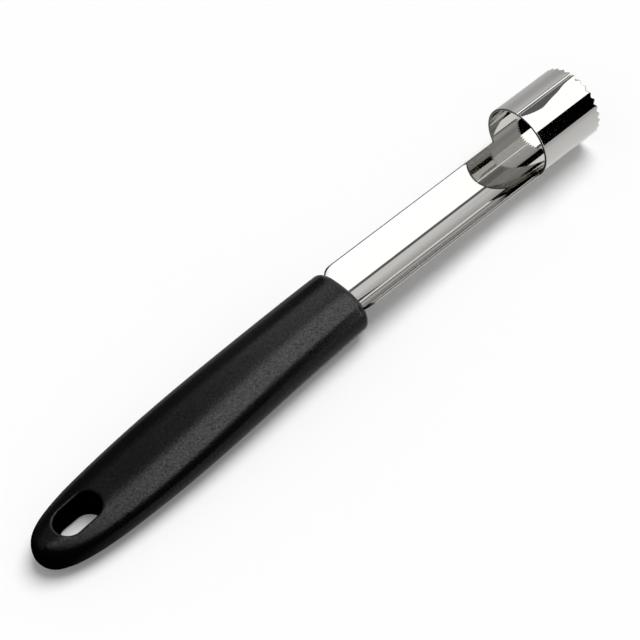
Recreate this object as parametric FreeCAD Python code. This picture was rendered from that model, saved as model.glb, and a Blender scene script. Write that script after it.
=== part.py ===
import FreeCAD, Part
import os
from math import acos, asin, atan, cos, degrees, pi, radians, sin, tan

# Apple corer, in millimetres. It lies on its back as on a table: +X points to the cutting edge, +Z is up,
# and the origin is the middle of its footprint, on the table. It has two pieces. The blade is one stamping of
# stainless sheet: a tube with a scalloped edge, rolled up to an open seam on top, then a trough-shaped shank
# and a hidden tang. The handle is one moulding round the tang.

# Blade sheet and cutting tube
SHEET_THICKNESS = 0.7
TUBE_DIAMETER = 22.0
TUBE_LENGTH = 22.0
SEAM_GAP = 0.4
RIM_CORNER_RADIUS = 0.5

# Scalloped cutting edge: crests round the tube, closer together across the seam
TOOTH_COUNT = 31
TOOTH_HEIGHT = 0.7
SEAM_TOOTH_PITCH = 1.65
SEAM_NOTCH_DEPTH = 0.45
SCALLOP_STEPS = 6

# Shank and tang: strips of the tube's own cylinder, below its axis
SHANK_WIDTH = 18.3
SHANK_LENGTH = 67.3
SHOULDER_RADIUS = 3.0
TANG_WIDTH = 12.4
TANG_LENGTH = 42.0
TANG_END_RADIUS = 3.0
TANG_HOLE_DIAMETER = 5.0
TANG_FIRST_HOLE = 12.0
TANG_HOLE_SPACING = 17.0

# How the blade sits in the handle
BLADE_DROOP = 3.5
AXIS_HEIGHT = 17.0
SOCKET_CLEARANCE = 0.1

# Handle outline seen from above: half widths, at shares of the length behind the front face
HANDLE_LENGTH = 107.8
FRONT_HALF_WIDTH = 10.15
GRIP_HALF_WIDTH = 10.95
BELLY_HALF_WIDTH = 11.6
TAIL_HALF_WIDTH = 10.7
BUTT_HALF_WIDTH = 8.65
TIP_HALF_WIDTH = 5.5
TIP_SETBACK = 3.0
GRIP_STATION = 0.28
BELLY_STATION = 0.54
TAIL_STATION = 0.78
BUTT_STATION = 0.91

# Handle outline seen from the side: heights of its upper line over its straight underside
FRONT_HEIGHT = 14.5
SHOULDER_HEIGHT = 13.7
WAIST_HEIGHT = 11.0
BUTT_HEIGHT = 9.35
SHOULDER_STATION = 0.335
WAIST_STATION = 0.7
BUTT_NOSE = 3.2

# Handle section, front lip, resting flat and hanging slot
SECTION_EXPONENT = 2.3
SECTION_POINTS = 24
LIP_STEPS = 4
GRIP_STEPS = 14
NOSE_STEPS = 5
FRONT_LIP_RADIUS = 2.0
REST_FLAT_DEPTH = 0.12
SLOT_WIDTH = 8.4
SLOT_LENGTH = 13.8
SLOT_BUTT_WALL = 7.6
SLOT_FRONT_DRAFT = 1.2
SLOT_MOUTH_BEVEL = 0.7

# Worked out from the sizes above
OUTER_RADIUS = TUBE_DIAMETER / 2
INNER_RADIUS = OUTER_RADIUS - SHEET_THICKNESS
DROOP = radians(BLADE_DROOP)
SHANK_HALF_ANGLE = asin(SHANK_WIDTH / 2 / OUTER_RADIUS)
TANG_HALF_ANGLE = asin(TANG_WIDTH / 2 / OUTER_RADIUS)
SHOULDER_DROP = OUTER_RADIUS * cos(TANG_HALF_ANGLE)
RIM_AHEAD = SOCKET_CLEARANCE + SHANK_LENGTH * cos(DROOP) + SHOULDER_DROP * sin(DROOP)
BLADE_REACH = RIM_AHEAD + TUBE_LENGTH * cos(DROOP) + OUTER_RADIUS * sin(DROOP)
OVERALL_LENGTH = HANDLE_LENGTH + BLADE_REACH
HANDLE_FRONT = HANDLE_LENGTH - OVERALL_LENGTH / 2
OVERCUT = 2.0
PICK_MARGIN = SHEET_THICKNESS / 50

X_AXIS = FreeCAD.Vector(1, 0, 0)
Y_AXIS = FreeCAD.Vector(0, 1, 0)
Z_AXIS = FreeCAD.Vector(0, 0, 1)
ORIGIN = FreeCAD.Vector(0, 0, 0)


def ring_point(radius, angle, x=0.0):
    """Point on a circle round the blade's axis, at an angle from the bottom line."""
    return FreeCAD.Vector(x, radius * sin(angle), -radius * cos(angle))


def curved_strip(x_back, x_front, half_angle, outer=OUTER_RADIUS, inner=INNER_RADIUS):
    """Length of sheet bent round the blade's axis, open at the top unless half_angle nears pi."""
    outside = Part.Arc(
        ring_point(outer, -half_angle, x_back),
        ring_point(outer, 0, x_back),
        ring_point(outer, half_angle, x_back),
    )
    inside = Part.Arc(
        ring_point(inner, half_angle, x_back),
        ring_point(inner, 0, x_back),
        ring_point(inner, -half_angle, x_back),
    )
    right_edge = Part.LineSegment(outside.EndPoint, inside.StartPoint)
    left_edge = Part.LineSegment(inside.EndPoint, outside.StartPoint)
    outline = Part.Wire([outside.toShape(), right_edge.toShape(), inside.toShape(), left_edge.toShape()])
    return Part.Face(outline).extrude(X_AXIS * (x_front - x_back))


def radial_edges(shape, x, angle):
    """Short edges across the sheet's thickness, at a length along the blade and an angle on both sides."""
    found = []
    for edge in shape.Edges:
        middle = edge.CenterOfMass
        on_line = abs(middle.x - x) < PICK_MARGIN and abs(edge.Length - SHEET_THICKNESS) < PICK_MARGIN
        from_bottom = acos(-middle.z / middle.sub(X_AXIS * middle.x).Length)
        if on_line and abs(from_bottom - angle) * OUTER_RADIUS < PICK_MARGIN:
            found.append(edge)
    return found


def scallop_cutter(pitch, depth):
    """Prism that cuts one rounded valley between two crests at the top of the tube."""
    points = []
    for number in range(SCALLOP_STEPS + 1):
        share = number / SCALLOP_STEPS
        valley = depth * (1 - cos(2 * pi * share)) / 2
        points.append(FreeCAD.Vector(TUBE_LENGTH - valley, pitch * (share - 0.5), INNER_RADIUS - OVERCUT))
    front_right = points[-1].add(X_AXIS * OVERCUT)
    front_left = points[0].add(X_AXIS * OVERCUT)
    outline = Part.makePolygon(points + [front_right, front_left, points[0]])
    return Part.Face(outline).extrude(Z_AXIS * (SHEET_THICKNESS + 2 * OVERCUT))


def scallop_cutters():
    """One narrow valley over the seam and equal valleys round the rest of the tube."""
    middle_radius = (OUTER_RADIUS + INNER_RADIUS) / 2
    seam_angle = 2 * asin(SEAM_TOOTH_PITCH / 2 / middle_radius)
    step = (2 * pi - seam_angle) / (TOOTH_COUNT - 1)
    pitch = 2 * middle_radius * tan(step / 2)
    cutters = [scallop_cutter(SEAM_TOOTH_PITCH, SEAM_NOTCH_DEPTH)]
    for number in range(TOOTH_COUNT - 1):
        cutter = scallop_cutter(pitch, TOOTH_HEIGHT)
        cutter.rotate(ORIGIN, X_AXIS, degrees(seam_angle / 2 + step * (number + 0.5)))
        cutters.append(cutter)
    return cutters


def tang_hole_places():
    """Lengths along the blade of the two holes in the tang."""
    first = -SHANK_LENGTH - TANG_FIRST_HOLE
    return [first, first - TANG_HOLE_SPACING]


def hole_plug(x, diameter):
    """Upright cylinder through the tang at one hole."""
    foot = FreeCAD.Vector(x, 0, -OUTER_RADIUS - OVERCUT)
    return Part.makeCylinder(diameter / 2, SHEET_THICKNESS + 2 * OVERCUT, foot, Z_AXIS)


def seat_blade(shape):
    """Move a shape from the blade's own frame, at the tube's rear rim, to its place in the handle."""
    seated = shape.copy()
    seated.rotate(ORIGIN, Y_AXIS, BLADE_DROOP)
    rim_height = AXIS_HEIGHT - RIM_AHEAD * tan(DROOP)
    seated.translate(FreeCAD.Vector(HANDLE_FRONT + RIM_AHEAD, 0, rim_height))
    return seated


def make_blade():
    """Cutting tube, shank and tang in one piece of sheet."""
    shoulder_x = -SHANK_LENGTH
    tang_end_x = shoulder_x - TANG_LENGTH
    tube = curved_strip(0, TUBE_LENGTH, pi - asin(SEAM_GAP / 2 / OUTER_RADIUS))
    tube = tube.cut(scallop_cutters())
    shank = curved_strip(shoulder_x, 0, SHANK_HALF_ANGLE)
    tang = curved_strip(tang_end_x, shoulder_x, TANG_HALF_ANGLE)
    blade = tube.fuse([shank, tang]).removeSplitter()
    blade = blade.makeFillet(RIM_CORNER_RADIUS, radial_edges(blade, 0, SHANK_HALF_ANGLE))
    blade = blade.makeFillet(SHOULDER_RADIUS, radial_edges(blade, shoulder_x, SHANK_HALF_ANGLE))
    blade = blade.makeFillet(TANG_END_RADIUS, radial_edges(blade, tang_end_x, TANG_HALF_ANGLE))
    blade = blade.cut([hole_plug(x, TANG_HOLE_DIAMETER) for x in tang_hole_places()])
    return seat_blade(blade)


def make_socket():
    """Space that the tang takes in the handle, less the plastic keys that fill its two holes."""
    gap = SOCKET_CLEARANCE
    shoulder_x = -SHANK_LENGTH
    socket = curved_strip(
        shoulder_x - TANG_LENGTH - gap,
        shoulder_x + OVERCUT,
        TANG_HALF_ANGLE + gap / OUTER_RADIUS,
        OUTER_RADIUS + gap,
        INNER_RADIUS - gap,
    )
    keys = [hole_plug(x, TANG_HOLE_DIAMETER - 2 * gap) for x in tang_hole_places()]
    return seat_blade(socket.cut(keys))


def plan_curve():
    """Half outline of the handle from above, as distance behind the front face against half width."""
    points = [
        (0, FRONT_HALF_WIDTH),
        (GRIP_STATION * HANDLE_LENGTH, GRIP_HALF_WIDTH),
        (BELLY_STATION * HANDLE_LENGTH, BELLY_HALF_WIDTH),
        (TAIL_STATION * HANDLE_LENGTH, TAIL_HALF_WIDTH),
        (BUTT_STATION * HANDLE_LENGTH, BUTT_HALF_WIDTH),
        (HANDLE_LENGTH - TIP_SETBACK, TIP_HALF_WIDTH),
        (HANDLE_LENGTH, 0),
    ]
    points = [FreeCAD.Vector(behind, width, 0) for behind, width in points]
    curve = Part.BSplineCurve()
    curve.interpolate(points, InitialTangent=points[1].sub(points[0]), FinalTangent=FreeCAD.Vector(0, -1, 0))
    return curve


def height_curve():
    """Height of the handle's upper line over its underside, against distance behind the front face."""
    points = [
        (0, FRONT_HEIGHT),
        (SHOULDER_STATION * HANDLE_LENGTH, SHOULDER_HEIGHT),
        (WAIST_STATION * HANDLE_LENGTH, WAIST_HEIGHT),
        (HANDLE_LENGTH, BUTT_HEIGHT),
    ]
    curve = Part.BSplineCurve()
    curve.interpolate([FreeCAD.Vector(behind, height, 0) for behind, height in points])
    return curve


def curve_value(curve, behind):
    """Value of an outline curve at a distance behind the front face, found by halving its range."""
    low = curve.FirstParameter
    high = curve.LastParameter
    for _ in range(50):
        middle = (low + high) / 2
        if curve.value(middle).x < behind:
            low = middle
        else:
            high = middle
    return curve.value(low).y


def oval_section(behind, half_width, half_height, middle_height):
    """Closed smooth oval, squarer than an ellipse, across the handle."""
    turns = [2 * pi * number / SECTION_POINTS for number in range(SECTION_POINTS)]
    points = []
    for turn in turns:
        size = (abs(cos(turn)) ** SECTION_EXPONENT + abs(sin(turn)) ** SECTION_EXPONENT) ** (-1 / SECTION_EXPONENT)
        across = half_width * size * cos(turn)
        upward = half_height * size * sin(turn)
        points.append(FreeCAD.Vector(HANDLE_FRONT - behind, across, middle_height + upward))
    curve = Part.BSplineCurve()
    curve.interpolate(points, PeriodicFlag=True, Parameters=turns + [2 * pi])
    return Part.Wire(curve.toShape())


def quarter_turn(steps):
    """Equal angles up a quarter turn, without its end."""
    return [pi / 2 * number / steps for number in range(steps)]


def handle_stations():
    """Distances behind the front face of the sections: closer round the front lip and round the nose."""
    nose_start = HANDLE_LENGTH - BUTT_NOSE
    grip_length = nose_start - FRONT_LIP_RADIUS
    lip = [FRONT_LIP_RADIUS * (1 - cos(angle)) for angle in quarter_turn(LIP_STEPS)]
    grip = [FRONT_LIP_RADIUS + grip_length * sin(angle) for angle in quarter_turn(GRIP_STEPS)]
    nose = [nose_start + BUTT_NOSE * sin(angle) for angle in quarter_turn(NOSE_STEPS)]
    return lip + grip + nose


def make_handle_body():
    """Outside form of the handle: ovals joined by short straight bands, with a point at the butt."""
    plan = plan_curve()
    upper_line = height_curve()
    sections = []
    for behind in handle_stations():
        into_lip = max(0.0, 1 - behind / FRONT_LIP_RADIUS)
        inset = FRONT_LIP_RADIUS * (1 - (1 - into_lip ** 2) ** 0.5)
        into_nose = max(0.0, (behind - (HANDLE_LENGTH - BUTT_NOSE)) / BUTT_NOSE)
        height = curve_value(upper_line, behind) + REST_FLAT_DEPTH
        half_width = curve_value(plan, behind) - inset
        half_height = height / 2 * (1 - into_nose ** 2) ** 0.5 - inset
        sections.append(oval_section(behind, half_width, half_height, height / 2 - REST_FLAT_DEPTH))
    butt_height = (BUTT_HEIGHT - REST_FLAT_DEPTH) / 2
    tip = Part.Vertex(HANDLE_FRONT - HANDLE_LENGTH, 0, butt_height)
    return Part.makeLoft(sections + [tip], True, True)


def slot_outline(back_x, front_x, height, growth, slope=0.0):
    """Outline of the slot with round ends, grown all round, at a height or leaning with the upper side."""
    radius = SLOT_WIDTH / 2
    size = radius + growth
    middle_x = (back_x + front_x) / 2
    corners = [
        FreeCAD.Vector(back_x + radius, size, height),
        FreeCAD.Vector(front_x - radius, size, height),
        FreeCAD.Vector(front_x - radius, -size, height),
        FreeCAD.Vector(back_x + radius, -size, height),
    ]
    front_end = Part.Arc(corners[1], FreeCAD.Vector(front_x + growth, 0, height), corners[2])
    back_end = Part.Arc(corners[3], FreeCAD.Vector(back_x - growth, 0, height), corners[0])
    outline = Part.Wire([
        Part.makeLine(corners[0], corners[1]),
        front_end.toShape(),
        Part.makeLine(corners[2], corners[3]),
        back_end.toShape(),
    ])
    outline.rotate(FreeCAD.Vector(middle_x, 0, height), Y_AXIS, -degrees(slope))
    return outline


def make_slot():
    """Space of the hanging slot, with bevelled mouths and a front end that leans back as it goes down."""
    upper_line = height_curve()
    back = HANDLE_LENGTH - SLOT_BUTT_WALL
    back_x = HANDLE_FRONT - back
    front_x = back_x + SLOT_LENGTH
    low_front_x = front_x - SLOT_FRONT_DRAFT
    back_height = curve_value(upper_line, back)
    front_height = curve_value(upper_line, back - SLOT_LENGTH)
    slope = atan((front_height - back_height) / SLOT_LENGTH)
    mouth = (back_height + front_height) / 2 - SLOT_MOUTH_BEVEL
    outlines = [
        slot_outline(back_x, low_front_x, SLOT_MOUTH_BEVEL - OVERCUT, OVERCUT),
        slot_outline(back_x, low_front_x, SLOT_MOUTH_BEVEL, 0),
        slot_outline(back_x, front_x, mouth, 0, slope),
        slot_outline(back_x, front_x, mouth + OVERCUT, OVERCUT, slope),
    ]
    return Part.makeLoft(outlines, True, True)


def make_handle():
    """Moulded handle with its hanging slot, resting flat and tang socket."""
    underside = Part.makeBox(
        2 * HANDLE_LENGTH,
        2 * TUBE_DIAMETER,
        OVERCUT,
        FreeCAD.Vector(HANDLE_FRONT - 1.5 * HANDLE_LENGTH, -TUBE_DIAMETER, -OVERCUT),
    )
    return make_handle_body().cut([make_slot(), underside, make_socket()])


def main():
    os.makedirs("parts", exist_ok=True)
    pieces = {"blade": make_blade(), "handle": make_handle()}
    for name, shape in pieces.items():
        bounds = shape.optimalBoundingBox(True, False)
        print(name, "valid", shape.isValid(), "solids", len(shape.Solids), "volume", round(shape.Volume, 1))
        print("  x", round(bounds.XMin, 3), round(bounds.XMax, 3), "y", round(bounds.YMin, 3),
              round(bounds.YMax, 3), "z", round(bounds.ZMin, 3), round(bounds.ZMax, 3))
        shape.exportStep(os.path.join("parts", name + ".step"))
    overlap = pieces["blade"].common(pieces["handle"]).Volume
    print("overlap of blade and handle", round(overlap, 4))


main()
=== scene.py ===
import math

import bmesh
import bpy
import numpy
from mathutils import Matrix, Vector


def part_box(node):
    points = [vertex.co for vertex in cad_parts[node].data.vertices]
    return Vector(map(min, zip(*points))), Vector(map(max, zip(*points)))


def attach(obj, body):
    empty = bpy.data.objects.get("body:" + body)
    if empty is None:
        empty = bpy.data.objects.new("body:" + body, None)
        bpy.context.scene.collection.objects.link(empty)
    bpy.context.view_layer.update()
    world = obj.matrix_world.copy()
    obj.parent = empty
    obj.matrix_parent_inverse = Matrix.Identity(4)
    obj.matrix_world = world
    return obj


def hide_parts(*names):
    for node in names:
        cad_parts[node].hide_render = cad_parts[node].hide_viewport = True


bl_info = {
    "name": "Apple corer",
    "version": (1, 0, 0),
    "blender": (4, 5, 0),
    "location": "3D View > Sidebar > Corer",
    "description": "Dresses an apple corer: rolled stainless blade, grained black handle and a studio",
    "category": "Add Mesh",
}

# The frame is loaded first, so that sizes can start from it
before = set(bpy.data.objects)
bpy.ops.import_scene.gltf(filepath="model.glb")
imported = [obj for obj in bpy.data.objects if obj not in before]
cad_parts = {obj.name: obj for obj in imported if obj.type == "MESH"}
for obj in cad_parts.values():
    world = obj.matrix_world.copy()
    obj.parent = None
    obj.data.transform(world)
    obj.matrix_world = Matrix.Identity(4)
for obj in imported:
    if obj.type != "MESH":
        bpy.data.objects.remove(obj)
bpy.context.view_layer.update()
BLADE_LOW, BLADE_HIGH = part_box("blade")
HANDLE_LOW, HANDLE_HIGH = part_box("handle")
MM = 0.001
QUARTER = math.pi / 2

# Kind of the arithmetic nodes, and what each works out
MATH = "ShaderNodeMath"
ABSOLUTE = {"operation": "ABSOLUTE"}
ADD = {"operation": "ADD"}
COSINE = {"operation": "COSINE"}
DIVIDE = {"operation": "DIVIDE"}
GREATER_THAN = {"operation": "GREATER_THAN"}
LESS_THAN = {"operation": "LESS_THAN"}
MAXIMUM = {"operation": "MAXIMUM"}
MULTIPLY = {"operation": "MULTIPLY"}
MULTIPLY_ADD = {"operation": "MULTIPLY_ADD"}
POWER = {"operation": "POWER"}
SIGN = {"operation": "SIGN"}
SINE = {"operation": "SINE"}
SUBTRACT = {"operation": "SUBTRACT"}

# A mix node's sockets for colours by number, because their names stand for other kinds of value too
COLOUR_A = 6
COLOUR_B = 7
MIXED_COLOUR = 2

# Rows of faces along the blank, from the tang's end to the cutting edge, and columns from its middle line
# out to the seam. Round corners and the scalloped edge get close ones. At the tube's rear rim one narrow
# row, RIM_ROW mm long, keeps the shading of the broken edge off the tube.
TANG_END_ROWS = 6
TANG_ROWS = 10
SHOULDER_ROWS = 10
SHANK_ROWS = 32
RIM_CORNER_ROWS = 6
RIM_ROW = 0.15
TUBE_ROWS = 14
EDGE_ROWS = 10
TANG_COLUMNS = 24
SHANK_COLUMNS = 18
WING_COLUMNS = 168
FIRST_SHANK_ROW = TANG_END_ROWS + TANG_ROWS
FIRST_TUBE_ROW = FIRST_SHANK_ROW + SHOULDER_ROWS + SHANK_ROWS + RIM_CORNER_ROWS
ALL_ROWS = FIRST_TUBE_ROW + TUBE_ROWS + EDGE_ROWS
ALL_COLUMNS = TANG_COLUMNS + SHANK_COLUMNS + WING_COLUMNS

# How the two sides of the sheet meet beside the seam. The rolls left the near side flat up to the seam.
# Each pair is a share of the tube's length from its rear rim, and the flat's width there in mm from the
# middle of the seam. FLAT_WIDTH_MOST is what the curve node's one stands for. The sheet leaves the circle
# SPRING_REACH mm from the seam, less SPRING_REACH_LOSS of the flat's width, and springs out by
# SPRING_PER_MM of the square of the way. Both sides curl in at their edges: the reach and depth in mm, the
# near side's first.
FLAT_WIDTHS = (
    (0.0, 1.2), (0.045, 1.55), (0.09, 1.95), (0.152, 2.45), (0.21, 2.77), (0.27, 2.94),
    (0.33, 3.0), (0.39, 2.87), (0.45, 2.65), (0.507, 2.36), (0.567, 2.13), (0.626, 1.9),
    (0.685, 1.65), (0.744, 1.32), (0.8, 1.1), (1.0, 0.9),
)
FLAT_WIDTH_MOST = 3.2
FLAT_TILT = 0.143
SPRING_PER_MM = 0.0305
SPRING_REACH = 2.873
SPRING_REACH_LOSS = 0.4926
CURLS = ((0.35, -0.05), (0.9, -0.15))

# Deburring: segments of the broken edge, and the least angle of an edge that is broken. Points of the two
# faces of the sheet that lie closer than MERGE_GAP mm are one.
EDGE_SEGMENTS = 2
EDGE_ANGLE = math.radians(50)
MERGE_GAP = 0.002

# Points round the handle, rings along it, and rings of its rounded edges and round the hanging slot. The
# patches round the slot's mouths reach SLOT_PATCH_MARGIN mm past its ends, and begin SLOT_PATCH_POINTS
# points above and below the handle's widest line.
RING_POINTS = 128
LIP_RINGS = 8
GRIP_RINGS = 96
NOSE_RINGS = 14
SLOT_RINGS = 9
MOUTH_RINGS = 6
WALL_RINGS = 8
SLOT_PATCH_MARGIN = 2.6
SLOT_PATCH_POINTS = 9
FACE_RING_SHARES = (0.12, 0.4, 0.6)

# Places of the handle's sizes, as shares of its length behind the front face, the slopes at the ends of its
# upper line, and the rounds and steps in which a smooth line is worked out
GRIP_STATION = 0.28
BELLY_STATION = 0.54
TAIL_STATION = 0.78
BUTT_STATION = 0.91
SHOULDER_STATION = 0.335
WAIST_STATION = 0.7
FRONT_RISE = 0.02
BUTT_FALL = -0.04
LINE_ROUNDS = 60
LINE_STEPS = 400

# Sizes of the surface patterns in mm. A polishing line takes half of POLISH_WIDTH. Spark-eroded grain is
# about 0.1 mm wide, and is drawn at 0.4 mm, so that it shows in the picture, with its pits to suit.
POLISH_LENGTH = 20
POLISH_WIDTH = 0.24
WAVE_LENGTH = 9
GRAIN_WIDTH = 0.4
PIT_WIDTH = 0.6
FLOW_WIDTH = 14

# Distances off the middle of the sheet, in mm, where its polish ends and where the sheared edge begins
POLISH_END = 0.33
SHEARED_START = 0.25

# Places of the stage in mm: the floor's half side and height, the boards' heights, and the white card's
# place along Y
FLOOR_REACH = 3000
FLOOR_HEIGHT = -0.02
BOARD_HEIGHT = 1
# The slot board is painted shade under the hanging slot
SLOT_SHADE_BOARD_HEIGHT = -0.01
WHITE_CARD_PLACE = -690

# Camera: width of its picture in mm, and the nearest distance that it shows in metres
SENSOR_WIDTH = 36.0
NEAREST_SEEN = 0.01


def linear(hex_colour):
    """Linear colour, with an alpha of one, from a six-digit sRGB hex value."""
    shares = [int(hex_colour[start:start + 2], 16) / 255 for start in (1, 3, 5)]
    return tuple(s / 12.92 if s <= 0.04045 else ((s + 0.055) / 1.055) ** 2.4 for s in shares) + (1.0,)


def add_node(tree, kind, settings=None, inputs=None):
    """Add a node with its settings. An input takes a value, a socket, or a node for its first output."""
    node = tree.nodes.new(kind)
    for name, value in (settings or {}).items():
        setattr(node, name, value)
    for key, value in (inputs or {}).items():
        if isinstance(value, bpy.types.Node):
            value = value.outputs[0]
        if isinstance(value, bpy.types.NodeSocket):
            tree.links.new(value, node.inputs[key])
        else:
            node.inputs[key].default_value = value
    return node


def new_material(name):
    """Empty node material and its tree."""
    material = bpy.data.materials.new(name)
    material.use_nodes = True
    material.node_tree.nodes.clear()
    return material, material.node_tree


def polished_stainless():
    """Stainless steel sheet, bright polished along its length before it was stamped and rolled.

    The eye sees a near mirror with faint lengthwise polishing lines, a slight waviness from the rolling,
    and duller edges where the sheet was sheared.
    """
    material, tree = new_material("polished stainless sheet")
    place = add_node(tree, "ShaderNodeAttribute", {"attribute_name": "blank_place"}).outputs["Vector"]

    # Polishing lines run along the sheet
    line_places = add_node(tree, "ShaderNodeMapping", {}, {
        "Vector": place,
        "Scale": (1 / (POLISH_LENGTH * MM), 1 / (POLISH_WIDTH * MM), 1 / (POLISH_WIDTH * MM)),
    })
    lines = add_node(tree, "ShaderNodeTexNoise", {}, {
        "Vector": line_places, "Scale": 1.0, "Detail": 3.0, "Roughness": 0.6,
    })
    # Rolling leaves the sheet wavy by a few thousandths of a millimetre
    waves = add_node(tree, "ShaderNodeTexNoise", {}, {
        "Vector": place, "Scale": 1 / (WAVE_LENGTH * MM), "Detail": 1.0,
    })
    # Depth in the sheet: everything that is not one of its two faces is sheared edge
    depth = add_node(tree, "ShaderNodeSeparateXYZ", {}, {"Vector": place}).outputs["Z"]
    from_middle = add_node(tree, MATH, SUBTRACT, {0: depth, 1: corer_blade().sheet_thickness / 2})
    off_middle = add_node(tree, MATH, ABSOLUTE, {0: from_middle})
    sheared = add_node(tree, "ShaderNodeMapRange", {}, {
        "Value": off_middle, "From Min": POLISH_END * MM, "From Max": SHEARED_START * MM,
    })
    roughness = add_node(tree, "ShaderNodeMapRange", {}, {
        "Value": lines.outputs["Fac"], "From Min": 0.3, "From Max": 0.7, "To Min": 0.025, "To Max": 0.05,
    })
    edge_roughness = add_node(tree, "ShaderNodeMix", {}, {"Factor": sheared, "A": roughness, "B": 0.4})
    face_colour = add_node(tree, "ShaderNodeMix", {"data_type": "RGBA"}, {
        "Factor": lines.outputs["Fac"], COLOUR_A: linear("#c0bfbc"), COLOUR_B: linear("#c9c8c5"),
    })
    colour = add_node(tree, "ShaderNodeMix", {"data_type": "RGBA"}, {
        "Factor": sheared, COLOUR_A: face_colour.outputs[MIXED_COLOUR], COLOUR_B: linear("#706f6d"),
    })
    line_bump = add_node(tree, "ShaderNodeBump", {}, {
        "Strength": 0.25, "Distance": 0.0012 * MM, "Height": lines.outputs["Fac"],
    })
    wave_bump = add_node(tree, "ShaderNodeBump", {}, {
        "Strength": 0.5, "Distance": 0.02 * MM, "Height": waves.outputs["Fac"], "Normal": line_bump,
    })
    surface = add_node(tree, "ShaderNodeBsdfPrincipled", {}, {
        "Base Color": colour.outputs[MIXED_COLOUR],
        "Metallic": 1.0,
        "Roughness": edge_roughness,
        "Normal": wave_bump,
    })
    add_node(tree, "ShaderNodeOutputMaterial", {}, {"Surface": surface})
    return material


def grained_plastic():
    """Black polypropylene, moulded in a spark-eroded tool.

    The eye sees a near-black matte skin with a fine even grain that breaks its highlights into specks.
    """
    material, tree = new_material("grained black polypropylene")
    place = add_node(tree, "ShaderNodeTexCoord").outputs["Object"]
    # The grain's height: small pits in a fine uneven skin
    grain = add_node(tree, "ShaderNodeTexNoise", {}, {
        "Vector": place, "Scale": 1 / (GRAIN_WIDTH * MM), "Detail": 2.0, "Roughness": 0.6,
    })
    pits = add_node(tree, "ShaderNodeTexVoronoi", {"feature": "F1"}, {
        "Vector": place, "Scale": 1 / (PIT_WIDTH * MM), "Randomness": 1.0,
    })
    height = add_node(tree, MATH, MULTIPLY_ADD, {
        0: pits.outputs["Distance"], 1: 0.35, 2: grain.outputs["Fac"],
    })
    # Flow marks change the roughness a little, and the grain shines more on its tips than in its hollows
    flow = add_node(tree, "ShaderNodeTexNoise", {}, {
        "Vector": place, "Scale": 1 / (FLOW_WIDTH * MM), "Detail": 2.0,
    })
    roughness = add_node(tree, "ShaderNodeMapRange", {}, {
        "Value": flow.outputs["Fac"], "From Min": 0.3, "From Max": 0.7, "To Min": 0.2, "To Max": 0.24,
    })
    gloss = add_node(tree, "ShaderNodeMapRange", {}, {
        "Value": grain.outputs["Fac"], "From Min": 0.35, "From Max": 0.65, "To Min": 0.22, "To Max": 0.72,
    })
    colour = add_node(tree, "ShaderNodeMix", {"data_type": "RGBA"}, {
        "Factor": grain.outputs["Fac"], COLOUR_A: linear("#020202"), COLOUR_B: linear("#060606"),
    })
    bump = add_node(tree, "ShaderNodeBump", {}, {"Strength": 0.6, "Distance": 0.04 * MM, "Height": height})
    surface = add_node(tree, "ShaderNodeBsdfPrincipled", {}, {
        "Base Color": colour.outputs[MIXED_COLOUR],
        "Roughness": roughness,
        "IOR": 1.49,
        "Specular IOR Level": gloss,
        "Normal": bump,
    })
    add_node(tree, "ShaderNodeOutputMaterial", {}, {"Surface": surface})
    return material


def seen_as_background(tree):
    """Node that gives one for camera, gloss and see-through rays, and zero for those that light things."""
    path = add_node(tree, "ShaderNodeLightPath").outputs
    seen = add_node(tree, MATH, MAXIMUM, {0: path["Is Camera Ray"], 1: path["Is Glossy Ray"]})
    return add_node(tree, MATH, MAXIMUM, {0: seen, 1: path["Is Transmission Ray"]})


def pale_floor_paper():
    """White studio paper. Camera, gloss and see-through rays find it a little brighter, up to white."""
    material, tree = new_material("white studio paper")
    shown = seen_as_background(tree)
    lift = add_node(tree, MATH, MULTIPLY, {0: shown, 1: corer_stage().floor_lift})
    paper = add_node(tree, "ShaderNodeBsdfDiffuse", {}, {"Color": linear("#edecec")})
    glow = add_node(tree, "ShaderNodeEmission", {}, {"Strength": lift})
    surface = add_node(tree, "ShaderNodeAddShader", {}, {0: paper, 1: glow})
    add_node(tree, "ShaderNodeOutputMaterial", {}, {"Surface": surface})
    return material


def faded_card(name, axis, first, last):
    """Studio card that fades along an axis, from a place in mm with its strength to another such pair."""
    material, tree = new_material(name)
    place = add_node(tree, "ShaderNodeTexCoord").outputs["Object"]
    spot = add_node(tree, "ShaderNodeSeparateXYZ", {}, {0: place})
    strength = add_node(tree, "ShaderNodeMapRange", {}, {
        "Value": spot.outputs[axis],
        "From Min": first[0] * MM, "From Max": last[0] * MM, "To Min": first[1], "To Max": last[1],
    })
    shade = add_node(tree, "ShaderNodeEmission", {}, {"Color": linear("#ffffff"), "Strength": strength})
    add_node(tree, "ShaderNodeOutputMaterial", {}, {"Surface": shade})
    return material


def card_material(name, colour, strength):
    """Studio card or screen with an even shade of its own."""
    material, tree = new_material(name)
    shade = add_node(tree, "ShaderNodeEmission", {}, {"Color": linear(colour), "Strength": strength})
    add_node(tree, "ShaderNodeOutputMaterial", {}, {"Surface": shade})
    return material


SHEET_SIZES = (
    "Outer Radius", "Thickness", "Tube Length", "Shank Length", "Tang Length", "Tang Edge", "Shank Edge",
    "Seam Edge", "Rim Corner", "Shoulder Corner", "Tang Corner", "Scallop Height", "Scallop Angle",
    "Seam Notch Depth", "Seam Notch Angle", "Droop",
)


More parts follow.
